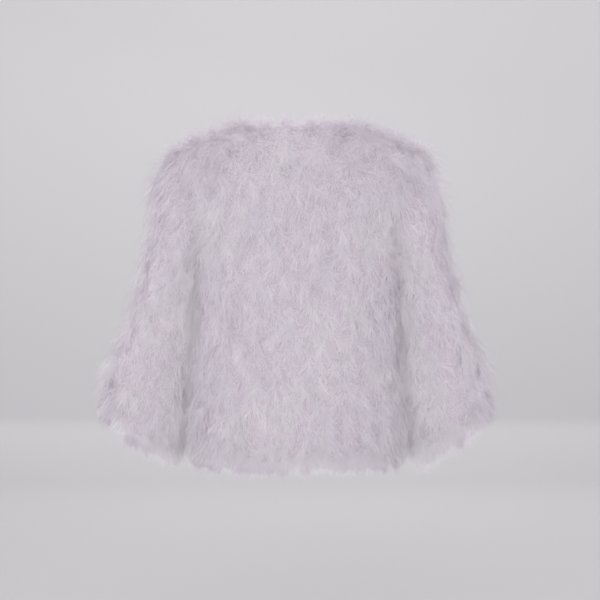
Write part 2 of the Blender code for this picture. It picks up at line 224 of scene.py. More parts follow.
def bodyPanel(cut, otherCut, u, side, finer):
    # sections carried up the body by a spline, turned over so that row 0 is the top and the last row the hem
    at = np.arange(bodySteps * finer + 1) / finer
    through = np.array([bodySection(s, u, side) for s in cut["sections"]] + [bodyTop(cut, u, side)])
    steps = [s[0] for s in cut["sections"]] + [bodySteps]
    upNeck = through[-1] + (through[-1] - through[-2]) / 2
    onShoulder = past(np.abs(u) / body["neckShare"], body["shoulderFrom"])[:, None]
    after = upNeck + onShoulder * (bodySection(otherCut["sections"][-1], u, -side) - upNeck)
    points = spline(steps, through, 2 * through[0] - through[1], after, at)
    angle = math.pi * np.clip((bodySteps - at) / body["stepsRoundArm"], 0, 1)
    roundArm = at >= body["stepsBelowArm"]
    for column in (0, -1):
        if abs(u[column]) == 1:  # this side lies on the side seam and the armhole
            wanted = points[:, column] * (1, 0, 1)
            wanted[roundArm] = armhole(side * angle[roundArm]) * (u[column], 1, 1)
            pull = np.clip(u * u[column], 0, 1) ** body["seamPull"]
            points = points + (wanted - points[:, column])[:, None] * pull[None, :, None]
    points[:, :, 1] += side * body["seamGap"] / 2
    down, across, normal = gridFrame(points, False)
    normal = side * normal
    reach = np.abs(u)[None, :]
    step = at[:, None]
    onSideSeam = (reach == 1) & (step <= body["stepsBelowArm"])
    onShoulderSeam = (reach >= body["neckShare"]) & (step == bodySteps)
    normal[..., 1] = np.where(onSideSeam | onShoulderSeam, 0.0, normal[..., 1])
    normal = unit(normal)
    mirror = np.stack([np.sign(u), np.ones_like(u), np.ones_like(u)], axis=-1)
    seamWay = armholeOutward(side * angle)[:, None] * mirror[None]
    nearSeam = past(reach, body["seamFrom"]) * roundArm[:, None]
    normal = unit(normal + nearSeam[..., None] * (seamWay - normal))
    edgePile = np.where(roundArm, armholePile(angle), shelteredPile(points[:, -1, 2]))[:, None]
    upArmhole = smooth((step - body["stepsBelowArm"]) / body["stepsRoundArm"])
    openPile = nap["pile"] * (1 + nap["shoulderCrest"] * upArmhole**2)
    sheltered = past(reach, nap["shelterFrom"])
    pile = openPile + sheltered * (edgePile - openPile)
    facing = np.array([0.0, side, 0.0])
    belowArm = smooth((angle / math.pi - nap["grooveFrom"]) / nap["grooveOver"])[:, None]
    besideArm = (sheltered * belowArm)[..., None]
    return {
        "points": points[::-1],
        "normal": normal[::-1],
        "down": -down[::-1],
        "across": across[::-1],
        "pile": pile[::-1],
        "barbNormal": unit(normal + nap["turnOut"][0] * besideArm * facing)[::-1],
        "barbPile": (pile + besideArm[..., 0] * (nap["groovePile"][0] - pile))[::-1],
        "closed": False,
        "outward": -side,
        "facing": facing,
        "sheltered": (sheltered * ~roundArm[:, None])[::-1],
        "onNeck": 1 - past(np.abs(u) / body["neckShare"], body["fringeEnd"]),
        "hangs": np.ones_like(u),
    }


def sleevePanel(finer):
    # rings carried from the armhole to the cuff by a spline: middle + half width * cos + half depth * sin
    angle = np.linspace(0, 2 * math.pi, 2 * body["stepsRoundArm"] * finer + 1)
    rings = [armhole(angle)]
    for _, outerX, outerZ, innerX, innerZ, middleY, halfDepth in sleeveCut["sections"]:
        outer, inner = np.array([outerX, middleY, outerZ]), np.array([innerX, middleY, innerZ])
        wide = np.cos(angle)[:, None] * (outer - inner) / 2
        rings.append((outer + inner) / 2 + wide + np.sin(angle)[:, None] * np.array([0, halfDepth, 0]))
    rings = np.array(rings)
    steps = [0] + [s[0] for s in sleeveCut["sections"]]
    at = np.arange(steps[-1] * finer + 1) / finer
    before, after = (1.5 * rings[end] - 0.5 * rings[beside] for end, beside in ((0, 1), (-1, -2)))
    points = spline(steps, rings, before, after, at)
    points[:, :, 0] += body["seamGap"]
    down, across, normal = gridFrame(points, True)
    atSeam = smooth(1 - at / body["capSteps"])[:, None]
    normal = unit(normal + atSeam[..., None] * (armholeOutward(angle)[None] - normal))
    facingBody = past(-np.cos(angle), nap["facingFrom"])[None]
    pile = nap["pile"] + facingBody * (shelteredPile(points[:, :, 2]) - nap["pile"])
    pile = pile + atSeam * (armholePile(angle)[None] - pile)
    outerArm = smooth(np.cos(angle))
    nearCuff = smooth((at - nap["flareFrom"]) / nap["flareOver"])[:, None]
    pile = pile * (1 + nap["cuffFlare"] * nearCuff * outerArm[None])
    besideBody = facingBody * np.ones_like(pile)
    turns = nap["turnOut"][1] * smooth(-np.cos(angle) / nap["turnWithin"])
    outOfGroove = np.stack([0 * angle, turns * np.sign(np.sin(angle)), 0 * angle], axis=-1)[None]
    return {
        "points": points,
        "normal": normal,
        "down": down,
        "across": across,
        "pile": pile,
        "barbNormal": unit(normal + outOfGroove),
        "barbPile": pile + besideBody * (nap["groovePile"][1] - pile),
        "closed": True,
        "outward": 1,
        "facing": np.zeros(3),
        "sheltered": besideBody * (1 - atSeam),
        "onNeck": np.zeros_like(angle),
        "hangs": 1 - nap["flaredHang"] * outerArm,
    }


def mirrored(panel):  # the same panel on the other side: x changes sign
    flipped = dict(panel)
    for key in ("points", "normal", "barbNormal", "down", "across"):
        flipped[key] = panel[key] * (-1, 1, 1)
    flipped["outward"] = -panel["outward"]
    return flipped


def allPanels(finer):
    # the five panels on grids that many times finer than the solids'; right-hand ones are mirrored
    steps = body["halfBackSteps"] * finer
    half = np.arange(steps + 1) / steps
    frontColumns = half.copy()
    frontColumns[0] = frontCut["edgeShare"]
    made = {
        "back": bodyPanel(backCut, frontCut, np.concatenate([-half[:0:-1], half]), 1, finer),
        "frontLeft": bodyPanel(frontCut, backCut, frontColumns, -1, finer),
        "sleeveLeft": sleevePanel(finer),
    }
    made["frontRight"] = mirrored(made["frontLeft"])
    made["sleeveRight"] = mirrored(made["sleeveLeft"])
    return made


downFiner = 3  # the down's grid against the solids'
panels = allPanels(1)
finePanels = allPanels(downFiner)
panelParts = {  # node of the cloth, cut and number of barbs
    "back": ("back", backCut, 160000),
    "frontLeft": ("front_left", frontCut, 68000),
    "frontRight": ("front_right", frontCut, 68000),
    "sleeveLeft": ("sleeve_left", sleeveCut, 76000),
    "sleeveRight": ("sleeve_right", sleeveCut, 76000),
}
print("panels worked out")


def linearColour(hexColour):  # sRGB hex to linear: ((c + 0.055) / 1.055) ^ 2.4 above the toe; opaque
    srgb = [int(hexColour[i : i + 2], 16) / 255 for i in (1, 3, 5)]
    return *(c / 12.92 if c <= 0.04045 else ((c + 0.055) / 1.055) ** 2.4 for c in srgb), 1


def addNode(tree, kind, settings=None, inputs=None):
    # adds a node, sets its properties, then fills each input with a value or a link from another's output
    node = tree.nodes.new(kind)
    for key, value in (settings or {}).items():
        setattr(node, key, value)
    for key, value in (inputs or {}).items():
        if isinstance(value, bpy.types.NodeSocket):
            tree.links.new(value, node.inputs[key])
        else:
            node.inputs[key].default_value = value
    return node


matt = {"Specular IOR Level": 0.2, "Sheen Roughness": 0.5}  # nothing here has a gloss


def newMaterial(name, roughness, sheen):
    material = bpy.data.materials.new(name)
    material.use_nodes = True
    tree = material.node_tree
    shader = tree.nodes["Principled BSDF"]
    finish = {"Roughness": roughness, "Sheen Weight": sheen, **matt}
    for key, value in finish.items():
        shader.inputs[key].default_value = value
    return material, tree, shader


feather = {
    "deep": "#E5DDE7",  # violet grey, down between the plumes: partly the barbs' own darker roots, partly painted shade low in the pile
    "violet": "#F2ECF4",
    "lilac": "#F7F3F7",
    "pale": "#FBF9FA",
    "rimShade": "#CCC5CE",  # painted shade: loose barbs past an edge and wisps, which no others shade, are coloured this greyer colour
    "lilacAt": 0.5,  # tone
    "deepAt": 0.25,  # height in the pile
    "roughness": 0.85,
    "sheen": 0.15,
    "downDeep": "#BEB3C0",
    "downHigh": "#D4CBD4",
    "downToneGain": 0.5,
    "downToneShift": -0.2,
    "fibreMm": 1.6,  # barbs of the down are far finer; drawn this wide so that they show
    "fibreStretch": 0.16,  # their width over their length
    "fibreDepth": 0.0015,
}


def featherColour(tree, tone, height):
    # violet to lilac to pale by tone, and up to that from the rim's painted shade through the deep one by
    # height;
    # the darker low colours are partly the barbs' own roots and partly painted shade
    colours = {k: linearColour(feather[k]) for k in ("rimShade", "deep", "violet", "lilac", "pale")}

    def blend(value, low, high, lower, upper):
        share = addNode(tree, "ShaderNodeMapRange", None, {"Value": value, "From Min": low, "From Max": high})
        inputs = {"Factor": share.outputs["Result"], "A": lower, "B": upper}
        return addNode(tree, "ShaderNodeMix", {"data_type": "RGBA"}, inputs).outputs["Result"]

    raised = blend(tone, 0.0, feather["lilacAt"], colours["violet"], colours["lilac"])
    raised = blend(tone, feather["lilacAt"], 1.0, raised, colours["pale"])
    lower = blend(height, 0.0, feather["deepAt"], colours["rimShade"], colours["deep"])
    return blend(height, feather["deepAt"], 1.0, lower, raised)


# Marabou barbs: soft keratin threads with no gloss, paler towards their tips; darker low in the pile, partly
# as their own roots and partly as painted shade. The map holds tone and height.
barbMaterial, tree, shader = newMaterial("marabouBarbs", feather["roughness"], feather["sheen"])
uvMap = addNode(tree, "ShaderNodeUVMap", {"uv_map": "OFBake"})
place = addNode(tree, "ShaderNodeSeparateXYZ", None, {"Vector": uvMap.outputs["UV"]})
barbColour = featherColour(tree, place.outputs["X"], place.outputs["Y"])
tree.links.new(barbColour, shader.inputs["Base Color"])

# Marabou down: the felted under layer, darker in its hollows, with fine fibres that run down the panel; its
# tone is raised by painted light between sleeve and body
downMaterial, tree, shader = newMaterial("marabouDown", feather["roughness"], feather["sheen"])
uvMap = addNode(tree, "ShaderNodeUVMap", {"uv_map": "panelMetres"})
longer = (1, feather["fibreStretch"], 1)
stretch = addNode(tree, "ShaderNodeMapping", None, {"Vector": uvMap.outputs["UV"], "Scale": longer})
fibres = addNode(
    tree,
    "ShaderNodeTexNoise",
    None,
    {
        "Vector": stretch.outputs["Vector"],
        "Scale": 1000 / feather["fibreMm"],
        "Detail": 3.0,
        "Roughness": 0.6,
    },
)
toneHere = addNode(tree, "ShaderNodeAttribute", {"attribute_name": "tone"})
paler = addNode(
    tree,
    "ShaderNodeMath",
    {"operation": "MULTIPLY_ADD"},
    {0: toneHere.outputs["Fac"], 1: feather["downToneGain"], 2: feather["downToneShift"]},
)
fibreTone = addNode(
    tree, "ShaderNodeMath", {"use_clamp": True}, {0: fibres.outputs["Fac"], 1: paler.outputs["Value"]}
)
downColour = addNode(
    tree,
    "ShaderNodeMix",
    {"data_type": "RGBA"},
    {
        "Factor": fibreTone.outputs["Value"],
        "A": linearColour(feather["downDeep"]),
        "B": linearColour(feather["downHigh"]),
    },
)
fibreBump = addNode(
    tree,
    "ShaderNodeBump",
    None,
    {"Height": fibres.outputs["Fac"], "Strength": 0.5, "Distance": feather["fibreDepth"]},
)
tree.links.new(downColour.outputs["Result"], shader.inputs["Base Color"])
tree.links.new(fibreBump.outputs["Normal"], shader.inputs["Normal"])

cloth = {
    "wall": 0.002,
    "threadMm": 3.0,  # a real thread is about 0.4 mm; drawn coarser so that the weave shows
    "lowColour": "#B5A8BB",
    "highColour": "#BCAFC2",
    "roughness": 0.85,
    "sheen": 0.15,
    "threadDepth": 0.0006,
}
waveRadians = 20  # that a wave texture turns in one unit, at a scale of 1

# Plain woven viscose backing: matt threads over and under, lit on their crowns
clothMaterial, tree, shader = newMaterial("wovenBacking", cloth["roughness"], cloth["sheen"])
uvMap = addNode(tree, "ShaderNodeUVMap", {"uv_map": "panelMetres"})
threads = [
    addNode(
        tree,
        "ShaderNodeTexWave",
        {"bands_direction": way},
        {
            "Vector": uvMap.outputs["UV"],
            "Scale": 2 * math.pi * 1000 / cloth["threadMm"] / waveRadians,
            "Distortion": 0.6,
            "Detail Scale": 4.0,
        },
    )
    for way in ("X", "Y")
]
weave = addNode(
    tree,
    "ShaderNodeMath",
    {"operation": "MULTIPLY"},
    {k: thread.outputs["Fac"] for k, thread in enumerate(threads)},
)
weaveColour = addNode(
    tree,
    "ShaderNodeMix",
    {"data_type": "RGBA"},
    {
        "Factor": weave.outputs["Value"],
        "A": linearColour(cloth["lowColour"]),
        "B": linearColour(cloth["highColour"]),
    },
)
weaveBump = addNode(
    tree,
    "ShaderNodeBump",
    None,
    {"Height": weave.outputs["Value"], "Strength": 0.15, "Distance": cloth["threadDepth"]},
)
tree.links.new(weaveColour.outputs["Result"], shader.inputs["Base Color"])
tree.links.new(weaveBump.outputs["Normal"], shader.inputs["Normal"])
print("materials made")


def newObject(name, content):
    made = bpy.data.objects.new(name, content)
    bpy.context.scene.collection.objects.link(made)
    return made


def addPiece(name, mesh, material):
    piece = newObject(name, mesh)
    mesh.materials.append(material)
    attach(piece, "root")
    return piece


def gridMesh(name, points, panel, breaks=()):
    # quads between neighbouring points of the grid but for the rows at the breaks, facing out, with the
    # distances over the cloth as the UV map
    rows, columns = points.shape[:2]
    around = columns - 1 if panel["closed"] else columns
    r, c = np.meshgrid(np.setdiff1d(np.arange(rows - 1), breaks), np.arange(columns - 1), indexing="ij")
    corners = np.stack([r * around + c % around, r * around + (c + 1) % around], axis=-1)
    faces = np.concatenate([corners, corners[..., ::-1] + around], axis=-1).reshape(-1, 4)
    wide = gridDistance(points, 1)
    uv = np.stack([wide - wide[:, [columns // 2]], gridDistance(points, 0)], axis=-1).reshape(-1, 2)
    first = r * columns + c
    onFace = np.stack([first, first + 1, first + columns + 1, first + columns], axis=-1).reshape(-1, 4)
    if panel["outward"] > 0:
        faces, onFace = faces[:, ::-1], onFace[:, ::-1]
    mesh = bpy.data.meshes.new(name)
    mesh.from_pydata(points[:, :around].reshape(-1, 3), [], faces)
    uvOnFace = uv[onFace.ravel()].astype(np.float32)
    mesh.uv_layers.new(name="panelMetres").data.foreach_set("uv", uvOnFace.ravel())
    mesh.shade_smooth()
    return mesh


# Cloth panels: a thin shell on each panel's own surface, its wall growing inwards
for panelName, panel in panels.items():
    node, cut, _ = panelParts[panelName]
    name = panelName + "Cloth"
    piece = addPiece(name, gridMesh(name, panel["points"], panel), clothMaterial)
    wall = piece.modifiers.new("wall", "SOLIDIFY")
    wall.thickness = cloth["wall"]
    wall.offset = -1
    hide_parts(node)
print("cloth panels made")


def sampleGrid(grid, row, column):
    # bilinear: the four neighbours weighted by how near they are
    r = np.clip(np.floor(row).astype(int), 0, grid.shape[0] - 2)
    c = np.clip(np.floor(column).astype(int), 0, grid.shape[1] - 2)
    fr, fc = row - r, column - c
    if grid.ndim == 3:
        fr, fc = fr[..., None], fc[..., None]
    near = grid[r, c] * (1 - fc) + grid[r, c + 1] * fc
    far = grid[r + 1, c] * (1 - fc) + grid[r + 1, c + 1] * fc
    return near * (1 - fr) + far * fr


# How far the feathers pass the cloth's open edges
overhang = {
    "rows": 3,  # of the solids' grid, that are drawn out
    "hem": 0.028,
    "cuff": 0.040,
    "neck": 0.034,
    "frontNeck": 0.016,
    "ragged": 0.003,
    "raggedWaves": (0.043, 0.027),
}


def featherBase(panel, finer, share):
    # the cloth's surface drawn out near its open edges, down at the hem or cuff and up at the neck, to a
    # ragged line: two sines of the distance across. The share is of the whole overhang
    fromTop = np.arange(len(panel["points"]))[:, None]
    atHem = smooth(1 - (len(fromTop) - 1 - fromTop) / (overhang["rows"] * finer))
    atNeck = smooth(1 - fromTop / (overhang["rows"] * finer)) * panel["onNeck"]
    wide = np.cumsum(np.linalg.norm(panel["across"], axis=2), axis=1)
    first, second = (wide * 2 * math.pi / wave for wave in overhang["raggedWaves"])
    ragged = overhang["ragged"] * (np.sin(first) + np.sin(second + 1)) / 2
    rise = overhang["neck" if panel["facing"][1] > 0 else "frontNeck"]
    hang = overhang["cuff" if panel["closed"] else "hem"] * panel["hangs"]
    drawn = (hang + ragged) * atHem - (rise + ragged) * atNeck
    base = dict(panel)
    base["points"] = panel["points"] + unit(panel["down"]) * (share * drawn)[..., None]
    base["down"], base["across"], _ = gridFrame(base["points"], panel["closed"])
    base["atEdge"] = np.maximum(atHem, atNeck)
    return base


def onPanel(panel, row, column, turned):
    # a place on the panel with its directions, turned to the open side beside an arm; past the last row it
    # runs straight on
    rows, columns = panel["points"].shape[:2]
    column = np.mod(column, columns - 1) if panel["closed"] else np.clip(column, 0, columns - 1)
    inRow = np.clip(row, 0, rows - 1)
    down = sampleGrid(panel["down"], inRow, column)
    place = sampleGrid(panel["points"], inRow, column) + down * (row - inRow)[..., None]
    across = sampleGrid(panel["across"], inRow, column)
    normal = sampleGrid(panel["normal"], inRow, column)
    normal = unit(normal + turned[..., None] * (sampleGrid(panel["barbNormal"], inRow, column) - normal))
    pile = sampleGrid(panel["pile"], inRow, column)
    return place, down, across, normal, pile + turned * (sampleGrid(panel["barbPile"], inRow, column) - pile)


def gridRows(panel):  # the last row and the last column
    rows, columns = panel["points"].shape[:2]
    return rows - 1, columns - 1


patch = {
    "ways": ((0.8, 0.3, 0.5), (-0.6, 0.4, 0.7), (0.35, -0.6, 0.9)),
    "wavelengths": (0.23, 0.16, 0.10),
    "phases": (0.4, 1.9, 4.1),
    "weights": (0.42, 0.33, 0.25),
    "middle": 0.38,  # tone at the shoulders
    "swing": 0.3,
    "fadeDown": 0.3,  # tone gained in a metre down
}


def patchTone(points):
    # broad patches of tone: sines of the distance along three slanting ways, and paler towards the hem
    along = points @ unit(np.array(patch["ways"])).T
    waves = np.sin(2 * math.pi * along / np.array(patch["wavelengths"]) + np.array(patch["phases"]))
    swing = patch["swing"] * waves @ np.array(patch["weights"])
    return patch["middle"] + swing - patch["fadeDown"] * points[..., 2]


# A marabou plume: a short quill, sewn to the cloth at its root, with barbs all along
plume = {
    "seed": 41,
    "rowPitch": 0.019,  # between rows of strung plumes
    "pitch": 0.018,  # between plumes in a row
    "fewest": 4,  # in a row
    "topRow": -0.006,  # the first hanging row is sewn over the top edge
    "lastGap": 0.006,  # rows a pitch apart end this far from the bottom edge
    "edgeRows": (0.016, 0.002),  # two more rows, this far from the bottom edge
    "edgeCloser": (1.8, 1.4),  # how many times closer the plumes are in them
    "standingCloser": 2.6,  # and in the row that stands up on a body panel's top edge
    "placeSpread": 0.3,  # of a pitch
    "rowSpread": 0.5,  # of a row of the grid
    "length": 0.044,
    "lengthShare": (0.75, 1.2),
    "sway": 0.5,  # radians that a plume turns from straight down
    "standingSway": 0.3,  # share of it in a standing plume
    "turnShare": (0.5, 1.3),  # of the turn out of the groove; more than 1 counts as 1
    "hemRun": 0.012,  # how far a quill passes the cloth's edge; its barbs go further
    "hemRunShare": (-0.4, 1.5),
    "neckRun": 0.012,
    "neckRunShare": (-0.3, 1.4),
    "lift": (0.38, 0.64),  # share of the pile to which a quill rises
    "standingLift": 0.7,  # share of that in a standing plume
    "riseRate": 1.5,  # how fast it rises along its length
    "startHigh": 0.25,  # how far up the rise it starts, on open cloth and beside an edge
    "startHighAtEdge": 0.6,
    "edgeDrop": 0.7,  # share of the rise that is lost past an edge
    "toneSpread": 0.07,
    # painted shade: a standing row at the neck is turned a little towards violet
    "standingTone": -0.1,
}


def plumeRoots(panel, rng):
    # rows a pitch apart down the panel, each with as many plumes as its width holds, staggered and jittered;
    # the rows on the edges are strung closer, and a body panel's top one stands up
    lastRow, lastColumn = gridRows(panel)
    rowLength = np.linalg.norm(panel["down"], axis=2).mean(axis=1)
    long = np.concatenate([[0], np.cumsum(rowLength[1:])])
    strings = np.arange(plume["topRow"], long[-1] - plume["lastGap"], plume["rowPitch"])
    strings = np.concatenate([[0.0], strings, long[-1] - np.array(plume["edgeRows"])])
    rowAt = np.interp(strings, long, np.arange(lastRow + 1)) + np.minimum(strings, 0) / rowLength[0]
    width = np.interp(rowAt, np.arange(lastRow + 1), np.linalg.norm(panel["across"], axis=2).sum(axis=1))
    closer = np.where((rowAt == 0) & (not panel["closed"]), plume["standingCloser"], 1)
    closer[-2:] = plume["edgeCloser"]
    counts = np.maximum(np.round(width * closer / plume["pitch"]), plume["fewest"]).astype(int)
    row = np.repeat(rowAt, counts)
    standing = (row == 0) & (not panel["closed"])
    first = np.repeat(np.cumsum(counts) - counts, counts)
    stagger = 0.25 + 0.5 * (np.repeat(np.arange(len(counts)), counts) % 2)
    place = np.arange(len(row)) - first + stagger + rng.normal(0, plume["placeSpread"], len(row))
    place = place / np.repeat(counts, counts)
    row = np.minimum(row + np.where(row > 0, rng.normal(0, plume["rowSpread"], len(row)), 0), lastRow)
    place = np.mod(place, 1) if panel["closed"] else np.clip(place, 0, 1)
    return row, place * lastColumn, standing


def plumeQuills(panel, rng):
    # each quill's root and its run over the panel's rows and columns: its length by the cosine and the sine
    # of its sway, cut short at the hem. A standing one starts on row 1 and runs up past the neck
    row, column, standing = plumeRoots(panel, rng)
    lastRow = gridRows(panel)[0]
    count = len(row)
    sway = rng.normal(0, plume["sway"], count)
    length = plume["length"] * rng.uniform(*plume["lengthShare"], count)
    turned = rng.uniform(*plume["turnShare"], count).clip(0, 1)
    _, down, across, _, pile = onPanel(panel, row, column, turned)
    rowLong = np.linalg.norm(down, axis=1)
    toHem = lastRow - row + plume["hemRun"] * rng.uniform(*plume["hemRunShare"], count) / rowLong
    rowRun = np.minimum(length * np.cos(sway) / rowLong, toHem)
    row = np.where(standing, 1.0, row)
    pastNeck = plume["neckRun"] * rng.uniform(*plume["neckRunShare"], count) / rowLong
    columnRun = length * np.sin(sway) / np.maximum(np.linalg.norm(across, axis=1), smallest)
    besideEdge = (row < 1.5) | (row > lastRow - 1)
    quill = {
        "row": row,
        "column": column,
        "rowRun": np.where(standing, -1 - pastNeck, rowRun),
        "columnRun": columnRun * np.where(standing, plume["standingSway"], 1),
        "rowLong": rowLong,
        "sway": sway,
        "standing": standing,
        "turned": turned,
        "shelter": pile / nap["pile"],
        "lift": rng.uniform(*plume["lift"], count) * np.where(standing, plume["standingLift"], 1),
        "tone": rng.normal(0, plume["toneSpread"], count) + plume["standingTone"] * standing,
        "startHigh": np.where(besideEdge, plume["startHighAtEdge"], plume["startHigh"]),
    }
    return {key: values[:, None] for key, values in quill.items()}


# A barb with its barbules, drawn as a flat blade that is pointed at both ends
barb = {
    "length": 0.027,
    "lengthShare": (0.5, 1.3),
    "shortest": 0.65,  # share of the length at the quill's ends, and how much more at its middle
    "fuller": 0.45,
    "taper": 0.1,  # half turns of the sine that are left out at each end of the quill
    "shelterWithin": (0.8, 1.5),  # how far the length follows the pile
    "shorterAtEdge": 0.25,
    "width": 0.0004,  # at its widest
    "widthShare": (0.7, 1.3),
    "lowWidth": 1.15,  # times as wide deep in the pile, and how much less at its top
    "thinning": 0.5,
    "thinningFrom": 0.2,
    "standingWidth": 0.6,
    "lean": (62, 30),  # degrees between barb and quill, at the quill's base and its tip
    "leanSpread": 17,
    "standingSplay": 2.2,  # times that spread
    "stray": 0.3,  # radians that a barb turns from its plume's own way
    "turnPast": 0.3,  # radians past either side that it turns round the quill
    "curl": 0.3,
    "combed": 0.35,  # how far it bends round to its plume's own way
    "droop": 0.14,
    "lowest": 0.12,  # the tips stay above this, in piles
    "low": 0.42,  # and each is held below a height from this
    "tallest": 1.25,  # to this
    "tallPower": 1.9,  # the higher this is, the fewer tall ones
    "lowerAtEdge": 0.35,
    "pressedMiddle": 0.4,  # how far the middle follows a tip that is pressed down
    "wispShare": 0.2,  # barbs that stand clear of the rest
    "wispLonger": 0.8,
    "wispRise": 0.75,  # by how many piles at most, to the sides and upwards
    "wispLeast": 0.1,
    "wispTurn": 0.35,  # share of its turn that a wisp keeps from straight out
    "wispThinner": 0.3,
    "tipsWithin": ((-0.37, -0.172, -0.59), (0.37, 0.172, 0.066)),  # a little past the solids
    "faces": (0.8, 1.5, 0.6),  # weights of the normal: blades show their flat more to the back and front
    "faceSpread": 0.9,
    "softer": 1.2,  # how far the shading follows the cloth's own normal
    "trianglesEach": 2,
    "trianglesInPiece": 195000,  # at most
}

# How a barb's colour is picked, by height in the pile and by tone: painted shade low in the pile, at loose
# rims and in a standing row, and painted light in the groove
shade = {
    "hemFade": 0.010,  # past the cloth's edge, where the rim's painted shade is reached
    "neckFade": 0.008,
    "standingRim": 0.75,  # the least share of the rim's painted shade in a standing row
    # painted shade: wisps that stand out to the sides take most of the rim's greyer colour
    "wispRim": 0.9,
    "along": (0.4, 0.9, 0.9, 1.2),  # share of the rim's painted shade at a barb's root, its two sides and its tip
    "strongest": 0.9,
    "base": 0.3,  # height on the map at the cloth, and how much it gains in a pile
    "gain": 0.65,
    # painted shade: a standing row counts as lower in the pile, so it is coloured darker; at an edge the
    # barbs count as higher, so less painted shade falls on them
    "standingHeight": 0.75,
    "edgeHeight": 0.4,
    "groovePaintedLight": 0.5,  # painted light between sleeve and body, as height in the pile: the barbs there are coloured paler for the light that comes through them
    "toneSpread": 0.08,
}


def barbRoots(panel, quill, each, rng):
    # barbs a jittered step apart along each quill, which rises to its lift by a smooth step
    lastRow, lastColumn = gridRows(panel)
    shape = (len(quill["row"]), each)
    q = (np.arange(each) + rng.uniform(0, 1, shape)) / each
    row, column = quill["row"] + quill["rowRun"] * q, quill["column"] + quill["columnRun"] * q
    place, down, across, normal, pile = onPanel(panel, row, column, quill["turned"] + 0 * q)
    inRow, inColumn = np.clip(row, 0, lastRow), np.clip(column, 0, lastColumn)
    atEdge = sampleGrid(panel["atEdge"], inRow, inColumn)
    rise = smooth(plume["riseRate"] * q + quill["startHigh"]) * (1 - plume["edgeDrop"] * atEdge)
    height = pile * quill["lift"] * rise
    return {
        "q": q,
        "place": place,
        "down": unit(down),
        "across": unit(across),
        "normal": normal,
        "sideways": 1 - normal[..., 1] ** 2,  # 0 where the pile faces the front or the back
        "pile": pile,
        "height": height,
        "root": place + normal * height[..., None],
        "wisp": rng.uniform(0, 1, shape) < barb["wispShare"],
        "atEdge": atEdge,
        "atNeck": atEdge * (row < lastRow / 2),
        "pastHem": np.maximum(row - lastRow, 0) * quill["rowLong"],
        "pastNeck": np.maximum(-row, 0) * quill["rowLong"],
        "groove": sampleGrid(panel["sheltered"], inRow, inColumn)[..., None],
    }


def barbCurves(quill, base, rng):
    # a barb leaves its quill at its lean, to either side or outwards, bends towards the quill's own way,
    # droops, and is held below its own height
    q, normal, wisp, atEdge, pile = (base[key] for key in ("q", "normal", "wisp", "atEdge", "pile"))
    shape = q.shape
    way = np.where(quill["standing"], -1.0, 1.0)[..., None]
    heading = (quill["sway"] + rng.normal(0, barb["stray"], shape))[..., None]
    along = unit(base["down"] * np.cos(heading) * way + base["across"] * np.sin(heading))
    beside = np.cross(normal, along)
    leanBase, leanTip = barb["lean"]
    splay = np.where(quill["standing"], barb["standingSplay"], 1.0)
    lean = leanBase + (leanTip - leanBase) * q + splay * rng.normal(0, barb["leanSpread"], shape)
    lean = np.radians(lean)[..., None]
    turn = rng.uniform(-barb["turnPast"], math.pi + barb["turnPast"], shape)
    turn = np.where(wisp, math.pi / 2 + barb["wispTurn"] * (turn - math.pi / 2), turn)[..., None]
    start = along * np.cos(lean) + (beside * np.cos(turn) + normal * np.sin(turn)) * np.sin(lean)
    fullness = np.sin(math.pi * (barb["taper"] + (1 - 2 * barb["taper"]) * q))
    reach = barb["length"] * (barb["shortest"] + barb["fuller"] * fullness)
    reach = reach * rng.uniform(*barb["lengthShare"], shape)
    reach = reach * np.clip(quill["shelter"], *barb["shelterWithin"])
    reach = reach * (1 + barb["wispLonger"] * wisp * (1 - atEdge + base["atNeck"] / 2))
    reach = (reach * (1 - barb["shorterAtEdge"] * atEdge))[..., None]
    end = unit(start + barb["combed"] * along + rng.normal(0, barb["curl"], (*shape, 3)))
    middle = base["root"] + reach / 2 * start
    tip = middle + reach / 2 * end
    tip[..., 2] -= barb["droop"] * reach[..., 0]
    tipHeight = base["height"] + np.sum((tip - base["root"]) * normal, axis=-1)
    clear = wisp * barb["wispRise"] * base["sideways"] * rng.uniform(barb["wispLeast"], 1, shape)
    tall = rng.uniform(0, 1, shape) ** barb["tallPower"]
    most = pile * (barb["low"] + (barb["tallest"] - barb["low"]) * tall) + nap["pile"] * clear
    most = most * (1 - barb["lowerAtEdge"] * atEdge)
    pressed = np.maximum(tipHeight - most, 0) - np.maximum(barb["lowest"] * pile - tipHeight, 0)
    pressed = normal * pressed[..., None]
    return middle - barb["pressedMiddle"] * pressed, np.clip(tip - pressed, *barb["tipsWithin"]), tipHeight


def barbBlades(panel, quill, base, curves, rng):
    # a blade half a width to either side of each barb's middle, with its flat mostly to the outside; it is
    # shaded by its own normal, softened towards the outside
    middle, tip, tipHeight = curves
    root, shape = base["root"], base["q"].shape
    outside = unit(base["normal"] * barb["faces"] + quill["standing"][..., None] * panel["facing"])
    edgeways = unit(np.cross(tip - root, outside + rng.normal(0, barb["faceSpread"], (*shape, 3))))
    upPile = smooth(tipHeight / np.maximum(base["pile"], smallest) - barb["thinningFrom"])
    wide = np.where(quill["standing"], barb["standingWidth"], barb["lowWidth"] - barb["thinning"] * upPile)
    wide = barb["width"] * wide * (1 - barb["wispThinner"] * base["wisp"])
    half = edgeways * (wide / 2 * rng.uniform(*barb["widthShare"], shape))[..., None]
    faceWay = np.cross(edgeways, unit(tip - root))
    facing = np.sum(faceWay * outside, axis=-1, keepdims=True)
    shading = unit(faceWay + barb["softer"] * outside * facing)
    return np.stack([root, middle - half, middle + half, tip], axis=2), shading


